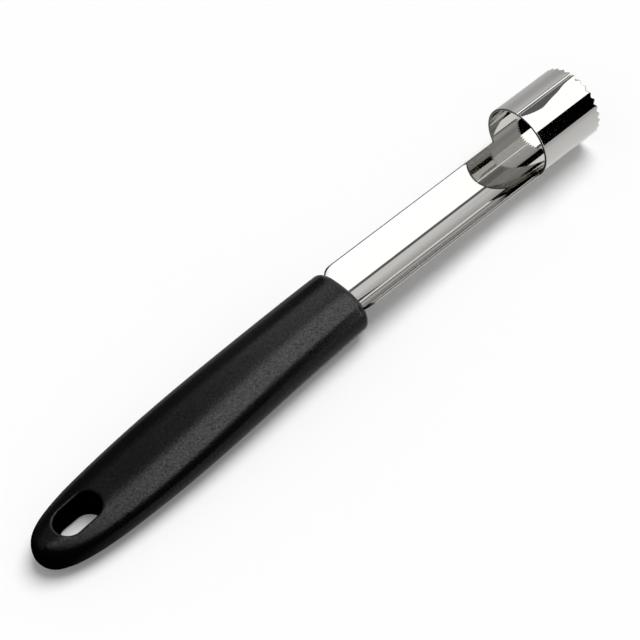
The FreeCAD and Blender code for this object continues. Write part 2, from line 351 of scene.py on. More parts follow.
def cut_blank(tree):
    """Grid of unit squares cut to the blank's outline, with the row, column and side of its points."""
    grid = add_node(tree, "GeometryNodeMeshGrid", {}, {
        "Size X": float(ALL_ROWS), "Size Y": float(2 * ALL_COLUMNS),
        "Vertices X": ALL_ROWS + 1, "Vertices Y": 2 * ALL_COLUMNS + 1,
    })
    number = add_node(tree, "ShaderNodeSeparateXYZ", {}, {0: add_node(tree, "GeometryNodeInputPosition")})
    row = add_node(tree, MATH, ADD, {0: number.outputs["X"], 1: ALL_ROWS / 2})
    column = add_node(tree, MATH, ABSOLUTE, {0: number.outputs["Y"]})
    side = add_node(tree, MATH, SIGN, {0: number.outputs["Y"]})

    # The blank keeps the tube's full width, the shank's, then the tang's
    behind_rim = add_node(tree, MATH, LESS_THAN, {0: row, 1: float(FIRST_TUBE_ROW)})
    behind_shank = add_node(tree, MATH, LESS_THAN, {0: row, 1: float(FIRST_SHANK_ROW)})
    off_shank = add_node(tree, MATH, GREATER_THAN, {0: column, 1: float(TANG_COLUMNS + SHANK_COLUMNS)})
    off_tang = add_node(tree, MATH, GREATER_THAN, {0: column, 1: float(TANG_COLUMNS)})
    beside_shank = add_node(tree, MATH, MULTIPLY, {0: behind_rim, 1: off_shank})
    beside_tang = add_node(tree, MATH, MULTIPLY, {0: behind_shank, 1: off_tang})
    waste = add_node(tree, MATH, MAXIMUM, {0: beside_shank, 1: beside_tang})
    blank = add_node(tree, "GeometryNodeDeleteGeometry", {"domain": "FACE"}, {
        "Geometry": grid, "Selection": waste,
    })
    return blank, row, column, side


def place_along(tree, size, row):
    """Place of a row along the blank, and how far the three round corners set its sides in or out there."""
    # A straight stretch takes even rows, and a round corner even parts of a quarter turn
    tang_line = add_node(tree, MATH, SUBTRACT, {0: size["Tang Length"], 1: size["Tang Corner"]})
    before_rim = add_node(tree, MATH, SUBTRACT, {0: size["Shank Length"], 1: size["Shoulder Corner"]})
    shank_line = add_node(tree, MATH, SUBTRACT, {0: before_rim, 1: size["Rim Corner"]})
    tube_line = add_node(tree, MATH, SUBTRACT, {0: size["Tube Length"], 1: RIM_ROW * MM})
    stretches = (
        (TANG_END_ROWS, None),
        (TANG_ROWS, tang_line),
        (SHOULDER_ROWS, None),
        (SHANK_ROWS, shank_line),
        (RIM_CORNER_ROWS, None),
        (1, RIM_ROW * MM),
        (TUBE_ROWS + EDGE_ROWS - 1, tube_line),
    )
    corners = iter((
        (size["Tang Corner"], QUARTER, 0.0),
        (size["Shoulder Corner"], QUARTER, 0.0),
        (size["Rim Corner"], 0.0, QUARTER),
    ))
    blank_length = add_node(tree, MATH, ADD, {0: size["Shank Length"], 1: size["Tang Length"]})
    along = add_node(tree, MATH, MULTIPLY, {0: blank_length, 1: -1.0})
    insets = []
    first = 0
    for count, length in stretches:
        span = {"Value": row, "From Min": float(first), "From Max": float(first + count)}
        if length:
            step = add_node(tree, "ShaderNodeMapRange", {}, {**span, "To Min": 0.0, "To Max": length})
        else:
            radius, start_turn, end_turn = next(corners)
            turn = add_node(tree, "ShaderNodeMapRange", {}, {
                **span, "To Min": start_turn, "To Max": end_turn,
            })
            sine = add_node(tree, MATH, SINE, {0: turn})
            cosine = add_node(tree, MATH, COSINE, {0: turn})
            ahead = sine if end_turn else add_node(tree, MATH, SUBTRACT, {0: 1.0, 1: sine})
            step = add_node(tree, MATH, MULTIPLY, {0: ahead, 1: radius})
            short = add_node(tree, MATH, SUBTRACT, {0: 1.0, 1: cosine})
            insets.append(add_node(tree, MATH, MULTIPLY, {0: short, 1: radius}))
        along = add_node(tree, MATH, ADD, {0: along, 1: step})
        first += count
    return along, insets


def place_across(tree, size, column, insets):
    """Place of a column across the blank, as length round the outside from its middle line."""
    tang_inset, shoulder_inset, rim_flare = insets
    tang_edge = add_node(tree, MATH, SUBTRACT, {0: size["Tang Edge"], 1: tang_inset})
    shank_edge = add_node(tree, MATH, SUBTRACT, {0: size["Shank Edge"], 1: shoulder_inset})
    flared_edge = add_node(tree, MATH, ADD, {0: shank_edge, 1: rim_flare})
    shank_side = add_node(tree, MATH, SUBTRACT, {0: flared_edge, 1: size["Tang Edge"]})
    wing_start = add_node(tree, MATH, ADD, {0: size["Shank Edge"], 1: size["Rim Corner"]})
    wing = add_node(tree, MATH, SUBTRACT, {0: size["Seam Edge"], 1: wing_start})
    across = 0.0
    first = 0
    for count, width in ((TANG_COLUMNS, tang_edge), (SHANK_COLUMNS, shank_side), (WING_COLUMNS, wing)):
        share = add_node(tree, "ShaderNodeMapRange", {}, {
            "Value": column, "From Min": float(first), "From Max": float(first + count),
        })
        across = add_node(tree, MATH, MULTIPLY_ADD, {0: share, 1: width, 2: across})
        first += count
    return across


def scallops(tree, size, row, across):
    """How far the cutting edge is set back, in waves that are counted from the crests beside the seam."""
    turned = add_node(tree, MATH, DIVIDE, {0: across, 1: size["Outer Radius"]})
    from_seam = add_node(tree, MATH, SUBTRACT, {0: math.pi, 1: turned})
    half_notch = add_node(tree, MATH, MULTIPLY, {0: size["Seam Notch Angle"], 1: 0.5})
    past_crest = add_node(tree, MATH, SUBTRACT, {0: from_seam, 1: half_notch})
    in_notch = add_node(tree, MATH, LESS_THAN, {0: past_crest, 1: 0.0})
    pitch = add_node(tree, "ShaderNodeMix", {}, {
        "Factor": in_notch, "A": size["Scallop Angle"], "B": size["Seam Notch Angle"],
    })
    depth = add_node(tree, "ShaderNodeMix", {}, {
        "Factor": in_notch, "A": size["Scallop Height"], "B": size["Seam Notch Depth"],
    })
    waves = add_node(tree, MATH, DIVIDE, {0: past_crest, 1: pitch})
    phase = add_node(tree, MATH, MULTIPLY, {0: waves, 1: 2 * math.pi})
    crest = add_node(tree, MATH, COSINE, {0: phase})
    hollow = add_node(tree, MATH, MULTIPLY_ADD, {0: crest, 1: -0.5, 2: 0.5})
    cut = add_node(tree, MATH, MULTIPLY, {0: hollow, 1: depth})
    near_edge = add_node(tree, "ShaderNodeMapRange", {}, {
        "Value": row, "From Min": float(ALL_ROWS - EDGE_ROWS), "From Max": float(ALL_ROWS),
    })
    return add_node(tree, MATH, MULTIPLY, {0: cut, 1: near_edge})


def thicken(tree, size, flat):
    """Sheet between the turned-over blank, as the outside of the roll, and a raised copy as its inside."""
    raised = add_node(tree, "GeometryNodeExtrudeMesh", {"mode": "FACES"}, {
        "Mesh": flat, "Offset Scale": size["Thickness"], "Individual": False,
    })
    outside = add_node(tree, "GeometryNodeFlipFaces", {}, {"Mesh": flat})
    both = add_node(tree, "GeometryNodeJoinGeometry", {}, {"Geometry": raised})
    tree.links.new(outside.outputs[0], both.inputs[0])
    return add_node(tree, "GeometryNodeMergeByDistance", {}, {
        "Geometry": both, "Distance": MERGE_GAP * MM,
    })


def seam_bend(tree, size, spot):
    """How far the sheet leaves the circle beside the seam, where it is less well rolled.

    The near side springs out and is flat, and both sides curl in at their edges.
    """
    off_middle = add_node(tree, MATH, ABSOLUTE, {0: spot.outputs["Y"]})
    half_round = add_node(tree, MATH, MULTIPLY, {0: size["Outer Radius"], 1: math.pi})
    to_seam = add_node(tree, MATH, SUBTRACT, {0: half_round, 1: off_middle})
    tube_share = add_node(tree, MATH, DIVIDE, {0: spot.outputs["X"], 1: size["Tube Length"]})
    width_line = add_node(tree, "ShaderNodeFloatCurve", {}, {"Value": tube_share})
    points = width_line.mapping.curves[0].points
    points[0].location = (FLAT_WIDTHS[0][0], FLAT_WIDTHS[0][1] / FLAT_WIDTH_MOST)
    points[-1].location = (FLAT_WIDTHS[-1][0], FLAT_WIDTHS[-1][1] / FLAT_WIDTH_MOST)
    for share, width in FLAT_WIDTHS[1:-1]:
        points.new(share, width / FLAT_WIDTH_MOST)
    width_line.mapping.update()
    flat_width = add_node(tree, MATH, MULTIPLY, {0: width_line, 1: FLAT_WIDTH_MOST * MM})
    spring_reach = add_node(tree, MATH, MULTIPLY_ADD, {
        0: flat_width, 1: -SPRING_REACH_LOSS, 2: SPRING_REACH * MM,
    })
    round_spot = add_node(tree, MATH, MAXIMUM, {0: to_seam, 1: flat_width})
    in_spring = add_node(tree, MATH, SUBTRACT, {0: spring_reach, 1: round_spot})
    spring_part = add_node(tree, MATH, MAXIMUM, {0: in_spring, 1: 0.0})
    spring_square = add_node(tree, MATH, POWER, {0: spring_part, 1: 2.0})
    in_flat = add_node(tree, MATH, SUBTRACT, {0: flat_width, 1: to_seam})
    flat_part = add_node(tree, MATH, MAXIMUM, {0: in_flat, 1: 0.0})
    flat_middle = add_node(tree, MATH, ADD, {0: flat_width, 1: to_seam})
    round_width = add_node(tree, MATH, MULTIPLY, {0: size["Outer Radius"], 1: 2.0})
    round_tilt = add_node(tree, MATH, DIVIDE, {0: flat_middle, 1: round_width})
    rise = add_node(tree, MATH, SUBTRACT, {0: FLAT_TILT, 1: round_tilt})
    flat_lift = add_node(tree, MATH, MULTIPLY, {0: flat_part, 1: rise})
    spring_lift = add_node(tree, MATH, MULTIPLY_ADD, {
        0: spring_square, 1: SPRING_PER_MM / MM, 2: flat_lift,
    })
    on_far_side = add_node(tree, MATH, GREATER_THAN, {0: spot.outputs["Y"], 1: 0.0})
    spring = add_node(tree, "ShaderNodeMix", {}, {"Factor": on_far_side, "A": spring_lift, "B": 0.0})
    (near_reach, near_curl), (far_reach, far_curl) = CURLS
    curl_reach = add_node(tree, "ShaderNodeMix", {}, {
        "Factor": on_far_side, "A": near_reach * MM, "B": far_reach * MM,
    })
    curl = add_node(tree, "ShaderNodeMix", {}, {
        "Factor": on_far_side, "A": near_curl * MM, "B": far_curl * MM,
    })
    to_edge = add_node(tree, MATH, SUBTRACT, {0: size["Seam Edge"], 1: off_middle})
    in_curl = add_node(tree, "ShaderNodeMapRange", {}, {
        "Value": to_edge, "From Min": curl_reach, "From Max": 0.0,
    })
    curl_share = add_node(tree, MATH, POWER, {0: in_curl, 1: 2.0})
    return add_node(tree, MATH, MULTIPLY_ADD, {0: curl_share, 1: curl, 2: spring})


def sheet_tree():
    """Node tree that cuts a flat blank from a grid, thickens it and rolls it up round the blade's axis."""
    tree = bpy.data.node_groups.new("rolled sheet blade", "GeometryNodeTree")
    tree.is_modifier = True
    for name in SHEET_SIZES:
        tree.interface.new_socket(name, in_out="INPUT", socket_type="NodeSocketFloat")
    tree.interface.new_socket("Rim Place", in_out="INPUT", socket_type="NodeSocketVector")
    tree.interface.new_socket("Material", in_out="INPUT", socket_type="NodeSocketMaterial")
    tree.interface.new_socket("Geometry", in_out="OUTPUT", socket_type="NodeSocketGeometry")
    size = add_node(tree, "NodeGroupInput").outputs

    # The flat sheet, in which each point keeps its place for the polish to follow
    blank, row, column, side = cut_blank(tree)
    along, insets = place_along(tree, size, row)
    across = place_across(tree, size, column, insets)
    cut_along = add_node(tree, MATH, SUBTRACT, {0: along, 1: scallops(tree, size, row, across)})
    signed = add_node(tree, MATH, MULTIPLY, {0: across, 1: side})
    flat = add_node(tree, "GeometryNodeSetPosition", {}, {
        "Geometry": blank,
        "Position": add_node(tree, "ShaderNodeCombineXYZ", {}, {"X": cut_along, "Y": signed}),
    })
    place = add_node(tree, "GeometryNodeInputPosition")
    marked = add_node(tree, "GeometryNodeStoreNamedAttribute", {
        "data_type": "FLOAT_VECTOR", "domain": "POINT",
    }, {"Geometry": thicken(tree, size, flat), "Name": "blank_place", "Value": place})

    # Rolling: length across becomes an angle from the bottom line, and height a smaller radius
    spot = add_node(tree, "ShaderNodeSeparateXYZ", {}, {0: place})
    angle = add_node(tree, MATH, DIVIDE, {0: spot.outputs["Y"], 1: size["Outer Radius"]})
    even_radius = add_node(tree, MATH, SUBTRACT, {0: size["Outer Radius"], 1: spot.outputs["Z"]})
    radius = add_node(tree, MATH, ADD, {0: even_radius, 1: seam_bend(tree, size, spot)})
    sine = add_node(tree, MATH, SINE, {0: angle})
    cosine = add_node(tree, MATH, COSINE, {0: angle})
    sideways = add_node(tree, MATH, MULTIPLY, {0: radius, 1: sine})
    upward = add_node(tree, MATH, MULTIPLY, {0: radius, 1: cosine})
    downward = add_node(tree, MATH, MULTIPLY, {0: upward, 1: -1.0})
    rolled = add_node(tree, "GeometryNodeSetPosition", {}, {
        "Geometry": marked,
        "Position": add_node(tree, "ShaderNodeCombineXYZ", {}, {
            "X": spot.outputs["X"], "Y": sideways, "Z": downward,
        }),
    })
    seated = add_node(tree, "GeometryNodeTransform", {}, {
        "Geometry": rolled,
        "Translation": size["Rim Place"],
        "Rotation": add_node(tree, "ShaderNodeCombineXYZ", {}, {"Y": size["Droop"]}),
    })
    smooth = add_node(tree, "GeometryNodeSetShadeSmooth", {}, {"Geometry": seated})
    real = add_node(tree, "GeometryNodeRealizeInstances", {}, {"Geometry": smooth})
    finished = add_node(tree, "GeometryNodeSetMaterial", {}, {
        "Geometry": real, "Material": size["Material"],
    })
    add_node(tree, "NodeGroupOutput", {}, {"Geometry": finished})
    return tree


def smooth_line(points, start, end):
    """Evenly bending line through points, with the given slopes at its ends, as a table of x and y."""
    points = [Vector(point) for point in points]
    spans = [(after - before).length for before, after in zip(points, points[1:])]
    slopes = [Vector(start).normalized()]
    for number in range(1, len(points) - 1):
        slopes.append((points[number + 1] - points[number - 1]) / (spans[number - 1] + spans[number]))
    slopes.append(Vector(end).normalized())
    for _ in range(LINE_ROUNDS):
        for number in range(1, len(points) - 1):
            before, after = spans[number - 1], spans[number]
            pull = 3 * (points[number] - points[number - 1]) / before ** 2
            pull += 3 * (points[number + 1] - points[number]) / after ** 2
            pull -= slopes[number - 1] / before + slopes[number + 1] / after
            slopes[number] = pull / (2 / before + 2 / after)
    line = []
    for number, span in enumerate(spans):
        for step in range(LINE_STEPS):
            share = step / LINE_STEPS
            rest = 1 - share
            line.append(
                points[number] * (1 + 2 * share) * rest ** 2
                + points[number + 1] * (1 + 2 * rest) * share ** 2
                + slopes[number] * span * share * rest ** 2
                - slopes[number + 1] * span * share ** 2 * rest)
    line.append(points[-1])
    return numpy.array([point.x for point in line]), numpy.array([point.y for point in line])


def handle_stations(sizes):
    """Distances of the handle's rings behind its front face, from its lip to its nose."""
    nose_start = sizes.length - sizes.nose
    grip = nose_start - sizes.lip_radius
    stations = [sizes.lip_radius * (1 - math.cos(QUARTER * n / LIP_RINGS)) for n in range(LIP_RINGS)]
    stations += [sizes.lip_radius + grip * n / GRIP_RINGS for n in range(GRIP_RINGS)]
    stations += [nose_start + sizes.nose * math.sin(QUARTER * n / NOSE_RINGS) for n in range(NOSE_RINGS)]
    return stations


class HandleForm:
    """Outside of the handle: an oval for each distance behind the front face."""

    def __init__(self, sizes):
        length = sizes.length
        self.sizes = sizes
        self.front = HANDLE_HIGH.x
        self.slot_back = length - sizes.slot_wall
        self.slot_front = self.slot_back - sizes.slot_length
        front = (0.0, sizes.front_half_width)
        grip = (GRIP_STATION * length, sizes.grip_half_width)
        self.plan = smooth_line((
            front,
            grip,
            (BELLY_STATION * length, sizes.belly_half_width),
            (TAIL_STATION * length, sizes.tail_half_width),
            (BUTT_STATION * length, sizes.butt_half_width),
            (length - sizes.tip_setback, sizes.tip_half_width),
            (length, 0.0),
        ), (grip[0] - front[0], grip[1] - front[1]), (0.0, -1.0))
        self.heights = smooth_line((
            (0.0, sizes.front_height),
            (SHOULDER_STATION * length, sizes.shoulder_height),
            (WAIST_STATION * length, sizes.waist_height),
            (length, sizes.butt_height),
        ), (length, FRONT_RISE * length), (length, BUTT_FALL * length))

    def oval(self, behind):
        """Half width, half height and middle height of the oval at a distance behind the front face."""
        sizes = self.sizes
        into_lip = max(0.0, 1 - behind / sizes.lip_radius)
        inset = sizes.lip_radius * (1 - math.sqrt(1 - into_lip ** 2))
        into_nose = min(1.0, max(0.0, 1 - (sizes.length - behind) / sizes.nose))
        half = (float(numpy.interp(behind, *self.heights)) + sizes.rest_depth) / 2
        width = float(numpy.interp(behind, *self.plan)) - inset
        return width, half * math.sqrt(1 - into_nose ** 2) - inset, half - sizes.rest_depth

    def ring_spot(self, behind, turn):
        """Point on the oval at an angle from its widest line."""
        width, half, middle = self.oval(behind)
        power = self.sizes.squareness
        size = (abs(math.cos(turn)) ** power + abs(math.sin(turn)) ** power) ** (-1 / power)
        height = middle + half * size * math.sin(turn)
        return Vector((self.front - behind, width * size * math.cos(turn), max(0.0, height)))

    def face_height(self, spot, side):
        """Height of the upper side (1) or the underside (-1) over a place."""
        width, half, middle = self.oval(self.front - spot.x)
        power = self.sizes.squareness
        share = (1 - min(1.0, abs(spot.y) / width) ** power) ** (1 / power)
        return max(0.0, middle + side * half * share)


def stretch_rings(bm, before, after):
    """Join two closed rings of points with four-cornered faces."""
    for number, corner in enumerate(before):
        bm.faces.new((corner, before[number - 1], after[number - 1], after[number]))


def add_ring(bm, before, spots):
    """Add a ring of points at these spots, joined to the ring before it."""
    ring = [bm.verts.new(spot) for spot in spots]
    stretch_rings(bm, before, ring)
    return ring


def slot_mouth(bm, form, ring, side, lean):
    """Make the skin from a patch's border over the slot's rounded mouth, and give its last ring."""
    sizes = form.sizes
    round_off = sizes.slot_width / 2
    spine_back = form.front - form.slot_back + round_off
    spine_front = form.front - form.slot_front - round_off - lean
    starts = [vertex.co.copy() for vertex in ring]
    spines = [Vector((min(max(spot.x, spine_back), spine_front), 0.0, 0.0)) for spot in starts]
    ways = [Vector((spot.x - spine.x, spot.y, 0.0)).normalized() for spot, spine in zip(starts, spines)]
    for number in range(1, SLOT_RINGS + 1):
        spots = []
        for start, spine, way in zip(starts, spines, ways):
            spot = start.lerp(spine + way * (round_off + sizes.mouth_radius), number / SLOT_RINGS)
            spot.z = form.face_height(spot, side)
            spots.append(spot)
        ring = add_ring(bm, ring, spots)
    for number in range(1, MOUTH_RINGS + 1):
        turn = QUARTER * number / MOUTH_RINGS
        drop = sizes.mouth_radius * (1 - math.cos(turn))
        spots = []
        for spine, way in zip(spines, ways):
            spot = spine + way * (round_off + sizes.mouth_radius * (1 - math.sin(turn)))
            spot.z = form.face_height(spot, side) - side * drop
            spots.append(spot)
        ring = add_ring(bm, ring, spots)
    return ring


def close_ends(bm, form, first, last):
    """Close the lip's first ring with the flat front face, and the nose's last ring at its tip."""
    sizes = form.sizes
    tip_height = sizes.butt_height / 2 - sizes.rest_depth / 2
    tip = bm.verts.new((form.front - sizes.length, 0.0, tip_height))
    for number, vertex in enumerate(last):
        bm.faces.new((vertex, last[number - 1], tip))
    ring = first
    centre = Vector((form.front, 0.0, form.oval(0.0)[2]))
    for share in FACE_RING_SHARES:
        ring = add_ring(bm, ring, [vertex.co.lerp(centre, share) for vertex in ring])
    bm.faces.new(ring)


class CorerBladeSettings(bpy.types.PropertyGroup):
    """Sizes of the stamped and rolled blade."""

    tube_diameter: bpy.props.FloatProperty(
        name="Tube Diameter", description="Outside diameter of the cutting tube",
        default=BLADE_HIGH.y - BLADE_LOW.y, subtype="DISTANCE", precision=5)
    tube_length: bpy.props.FloatProperty(
        name="Tube Length", description="Length of the cutting tube along its axis, to its crests",
        default=22 * MM, subtype="DISTANCE", precision=5)
    sheet_thickness: bpy.props.FloatProperty(
        name="Sheet Thickness", description="Thickness of the stainless sheet",
        default=0.7 * MM, subtype="DISTANCE", precision=5)
    seam_gap: bpy.props.FloatProperty(
        name="Seam Gap", description="Open gap between the two sides of the sheet on top of the tube",
        default=0.5 * MM, subtype="DISTANCE", precision=5)
    shank_width: bpy.props.FloatProperty(
        name="Shank Width", description="Width of the trough-shaped shank seen from above",
        default=18.3 * MM, subtype="DISTANCE", precision=5)
    shank_length: bpy.props.FloatProperty(
        name="Shank Length", description="Length of the shank from its shoulders to the tube's rear rim",
        default=67.3 * MM, subtype="DISTANCE", precision=5)
    shoulder_radius: bpy.props.FloatProperty(
        name="Shoulder Radius", description="Radius of the shank's two corners at the handle",
        default=3 * MM, subtype="DISTANCE", precision=5)
    rim_corner_radius: bpy.props.FloatProperty(
        name="Rim Corner Radius", description="Radius between the shank's edges and the tube's rear rim",
        default=0.5 * MM, subtype="DISTANCE", precision=5)
    tang_width: bpy.props.FloatProperty(
        name="Tang Width", description="Width of the tang inside the handle",
        default=12.4 * MM, subtype="DISTANCE", precision=5)
    tang_length: bpy.props.FloatProperty(
        name="Tang Length", description="Length of the tang behind the shoulders",
        default=42 * MM, subtype="DISTANCE", precision=5)
    tooth_count: bpy.props.IntProperty(
        name="Tooth Count", description="Crests round the cutting edge, with one on each side of the seam",
        default=31, min=3)
    tooth_height: bpy.props.FloatProperty(
        name="Tooth Height", description="Depth of the scallops between the crests",
        default=0.7 * MM, subtype="DISTANCE", precision=5)
    seam_tooth_pitch: bpy.props.FloatProperty(
        name="Seam Tooth Pitch", description="Distance between the two crests beside the seam",
        default=1.65 * MM, subtype="DISTANCE", precision=5)
    seam_notch_depth: bpy.props.FloatProperty(
        name="Seam Notch Depth", description="Depth of the scallop that crosses the seam",
        default=0.45 * MM, subtype="DISTANCE", precision=5)
    droop: bpy.props.FloatProperty(
        name="Droop", description="Angle by which the blade points down from the handle's underside",
        default=math.radians(3.5), subtype="ANGLE")
    rim_place: bpy.props.FloatVectorProperty(
        name="Rim Place", description="Middle of the tube's rear rim",
        default=(76.5 * MM, 0.0, 12.85 * MM), subtype="TRANSLATION", precision=5)
    edge_round: bpy.props.FloatProperty(
        name="Edge Round", description="Width of the broken edge that deburring leaves",
        default=0.13 * MM, subtype="DISTANCE", precision=5)


class CorerHandleSettings(bpy.types.PropertyGroup):
    """Sizes of the moulded handle."""

    length: bpy.props.FloatProperty(
        name="Length", description="Length of the handle",
        default=HANDLE_HIGH.x - HANDLE_LOW.x, subtype="DISTANCE", precision=5)
    front_half_width: bpy.props.FloatProperty(
        name="Front Half Width", description="Half width at the front face, before its rounded lip",
        default=10.15 * MM, subtype="DISTANCE", precision=5)
    grip_half_width: bpy.props.FloatProperty(
        name="Grip Half Width", description="Half width under the forefinger",
        default=10.95 * MM, subtype="DISTANCE", precision=5)
    belly_half_width: bpy.props.FloatProperty(
        name="Belly Half Width", description="Half width in the palm, where the handle is widest",
        default=11.6 * MM, subtype="DISTANCE", precision=5)
    tail_half_width: bpy.props.FloatProperty(
        name="Tail Half Width", description="Half width in front of the hanging slot",
        default=10.7 * MM, subtype="DISTANCE", precision=5)
    butt_half_width: bpy.props.FloatProperty(
        name="Butt Half Width", description="Half width beside the hanging slot",
        default=8.65 * MM, subtype="DISTANCE", precision=5)
    tip_half_width: bpy.props.FloatProperty(
        name="Tip Half Width", description="Half width where the end of the butt rounds off",
        default=5.5 * MM, subtype="DISTANCE", precision=5)
    tip_setback: bpy.props.FloatProperty(
        name="Tip Setback", description="Distance of that place from the very end",
        default=3 * MM, subtype="DISTANCE", precision=5)
    front_height: bpy.props.FloatProperty(
        name="Front Height", description="Height at the front face, before its rounded lip",
        default=14.5 * MM, subtype="DISTANCE", precision=5)
    shoulder_height: bpy.props.FloatProperty(
        name="Shoulder Height", description="Height under the forefinger",
        default=13.7 * MM, subtype="DISTANCE", precision=5)
    waist_height: bpy.props.FloatProperty(
        name="Waist Height", description="Height behind the palm",
        default=11 * MM, subtype="DISTANCE", precision=5)
    butt_height: bpy.props.FloatProperty(
        name="Butt Height", description="Height at the butt, before its rounded nose",
        default=9.35 * MM, subtype="DISTANCE", precision=5)
    squareness: bpy.props.FloatProperty(
        name="Squareness", description="Exponent of the section: 2 is an ellipse, and more is squarer",
        default=2.3, min=2.0, max=8.0)
    lip_radius: bpy.props.FloatProperty(
        name="Lip Radius", description="Radius of the rounded lip round the front face",
        default=2 * MM, subtype="DISTANCE", precision=5)
    nose: bpy.props.FloatProperty(
        name="Nose", description="Length over which the butt rounds off",
        default=3.2 * MM, subtype="DISTANCE", precision=5)
    rest_depth: bpy.props.FloatProperty(
        name="Rest Depth", description="Depth of the narrow flat along the underside",
        default=0.12 * MM, subtype="DISTANCE", precision=5)
    slot_width: bpy.props.FloatProperty(
        name="Slot Width", description="Width of the hanging slot",
        default=8.4 * MM, subtype="DISTANCE", precision=5)
    slot_length: bpy.props.FloatProperty(
        name="Slot Length", description="Length of the hanging slot on the upper side",
        default=13.8 * MM, subtype="DISTANCE", precision=5)
    slot_wall: bpy.props.FloatProperty(
        name="Slot Wall", description="Distance from the hanging slot to the end of the butt",
        default=7.6 * MM, subtype="DISTANCE", precision=5)
    slot_draft: bpy.props.FloatProperty(
        name="Slot Draft", description="How far the slot's front end leans back towards the underside",
        default=1.2 * MM, subtype="DISTANCE", precision=5)
    mouth_radius: bpy.props.FloatProperty(
        name="Mouth Radius", description="Radius of the slot's rounded mouths",
        default=0.7 * MM, subtype="DISTANCE", precision=5)


class CorerStageSettings(bpy.types.PropertyGroup):
    """Floor, light and camera."""

    floor_lift: bpy.props.FloatProperty(
        name="Floor Lift", description="Brightness that the paper shows the camera beyond its own colour",
        default=0.12, min=0.0, max=1.0, subtype="FACTOR")
    surround: bpy.props.FloatProperty(
        name="Surround", description="Brightness of the even light from all sides",
        default=0.3, min=0.0, max=1.0, subtype="FACTOR")
    lamp_strength: bpy.props.FloatProperty(
        name="Lamp Strength", description="Light that the far overhead lamp throws on a card that faces it",
        default=2.6, min=0.0, subtype="FACTOR")
    lamp_spread: bpy.props.FloatProperty(
        name="Lamp Spread", description="Width of the overhead lamp, as the angle it fills",
        default=math.radians(40), subtype="ANGLE")
    lamp_side: bpy.props.FloatVectorProperty(
        name="Lamp Side", description="Direction in which the overhead lamp is seen",
        default=(0.5, 0.05, 1.0), subtype="XYZ")
    softbox_height: bpy.props.FloatProperty(
        name="Softbox Height", description="Height of the softbox and the panels beside it over the floor",
        default=700 * MM, subtype="DISTANCE")
    lens: bpy.props.FloatProperty(
        name="Lens", description="Focal length of the camera for a 36 mm wide picture",
        default=113.32, subtype="DISTANCE_CAMERA", unit="CAMERA")
    camera_place: bpy.props.FloatVectorProperty(
        name="Camera Place", description="Place of the camera",
        default=(-194.75 * MM, -262.2 * MM, 432.7 * MM), subtype="TRANSLATION", precision=5)
    camera_heading: bpy.props.FloatProperty(
        name="Camera Heading", description="Direction in which the camera looks, from +X towards +Y",
        default=math.radians(53.46), subtype="ANGLE")
    camera_dip: bpy.props.FloatProperty(
        name="Camera Dip", description="Angle by which the camera looks down",
        default=math.radians(52.53), subtype="ANGLE")
    camera_roll: bpy.props.FloatProperty(
        name="Camera Roll", description="Turn of the camera round its own line of sight",
        default=math.radians(-9.09), subtype="ANGLE")


def corer_blade():
    """The scene's blade settings."""
    return bpy.context.scene.corer_blade


def corer_stage():
    """The scene's stage settings."""
    return bpy.context.scene.corer_stage


def flat_mesh(source):
    """Plain mesh of an object with its modifiers worked out."""
    graph = bpy.context.evaluated_depsgraph_get()
    return bpy.data.meshes.new_from_object(
        source.evaluated_get(graph), preserve_all_data_layers=True, depsgraph=graph)


def stage_card(name, corners, material, hidden=True):
    """Flat card that belongs to the studio."""
    mesh = bpy.data.meshes.new(name)
    mesh.from_pydata([Vector(corner) * MM for corner in corners], [], [range(len(corners))])
    mesh.materials.append(material)
    card = bpy.data.objects.new(name, mesh)
    bpy.context.scene.collection.objects.link(card)
    if hidden:
        card.visible_camera = False
        card.visible_diffuse = False
        card.visible_shadow = False
    return card


class CORER_OT_blade(bpy.types.Operator):
    """Make the stainless blade: cutting tube, shank and tang in one rolled sheet"""

    bl_idname = "corer.blade"
    bl_label = "Make Blade"

    def execute(self, context):
        blade = corer_blade()
        outer = blade.tube_diameter / 2
        middle = outer - blade.sheet_thickness / 2
        notch_angle = 2 * math.asin(blade.seam_tooth_pitch / 2 / middle)
        steel = polished_stainless()
        values = {
            "Outer Radius": outer,
            "Thickness": blade.sheet_thickness,
            "Tube Length": blade.tube_length,
            "Shank Length": blade.shank_length,
            "Tang Length": blade.tang_length,
            "Tang Edge": outer * math.asin(blade.tang_width / 2 / outer),
            "Shank Edge": outer * math.asin(blade.shank_width / 2 / outer),
            "Seam Edge": outer * (math.pi - math.asin(blade.seam_gap / 2 / outer)),
            "Rim Corner": blade.rim_corner_radius,
            "Shoulder Corner": blade.shoulder_radius,
            "Tang Corner": blade.shoulder_radius,
            "Scallop Height": blade.tooth_height,
            "Scallop Angle": (2 * math.pi - notch_angle) / (blade.tooth_count - 1),
            "Seam Notch Depth": blade.seam_notch_depth,
            "Seam Notch Angle": notch_angle,
            "Droop": blade.droop,
            "Rim Place": tuple(blade.rim_place),
            "Material": steel,
        }
        tree = sheet_tree()
        work = bpy.data.objects.new("blade_work", bpy.data.meshes.new("blade_work"))
        context.scene.collection.objects.link(work)
        roll = work.modifiers.new("roll", "NODES")
        roll.node_group = tree
        for item in tree.interface.items_tree:
            if item.in_out == "INPUT":
                roll[item.identifier] = values[item.name]
        deburr = work.modifiers.new("deburr", "BEVEL")
        deburr.width = blade.edge_round
        deburr.segments = EDGE_SEGMENTS
        deburr.limit_method = "ANGLE"
        deburr.angle_limit = EDGE_ANGLE
        evened = work.modifiers.new("evened", "WEIGHTED_NORMAL")
        evened.keep_sharp = True
        mesh = flat_mesh(work)
        if not mesh.polygons:
            raise RuntimeError("the rolled sheet came out empty")
        mesh.name = "blade_sheet"
        piece = bpy.data.objects.new("blade_sheet", mesh)
        context.scene.collection.objects.link(piece)
        bpy.data.objects.remove(work)
        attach(piece, "root")
        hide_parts("blade")
        return {"FINISHED"}


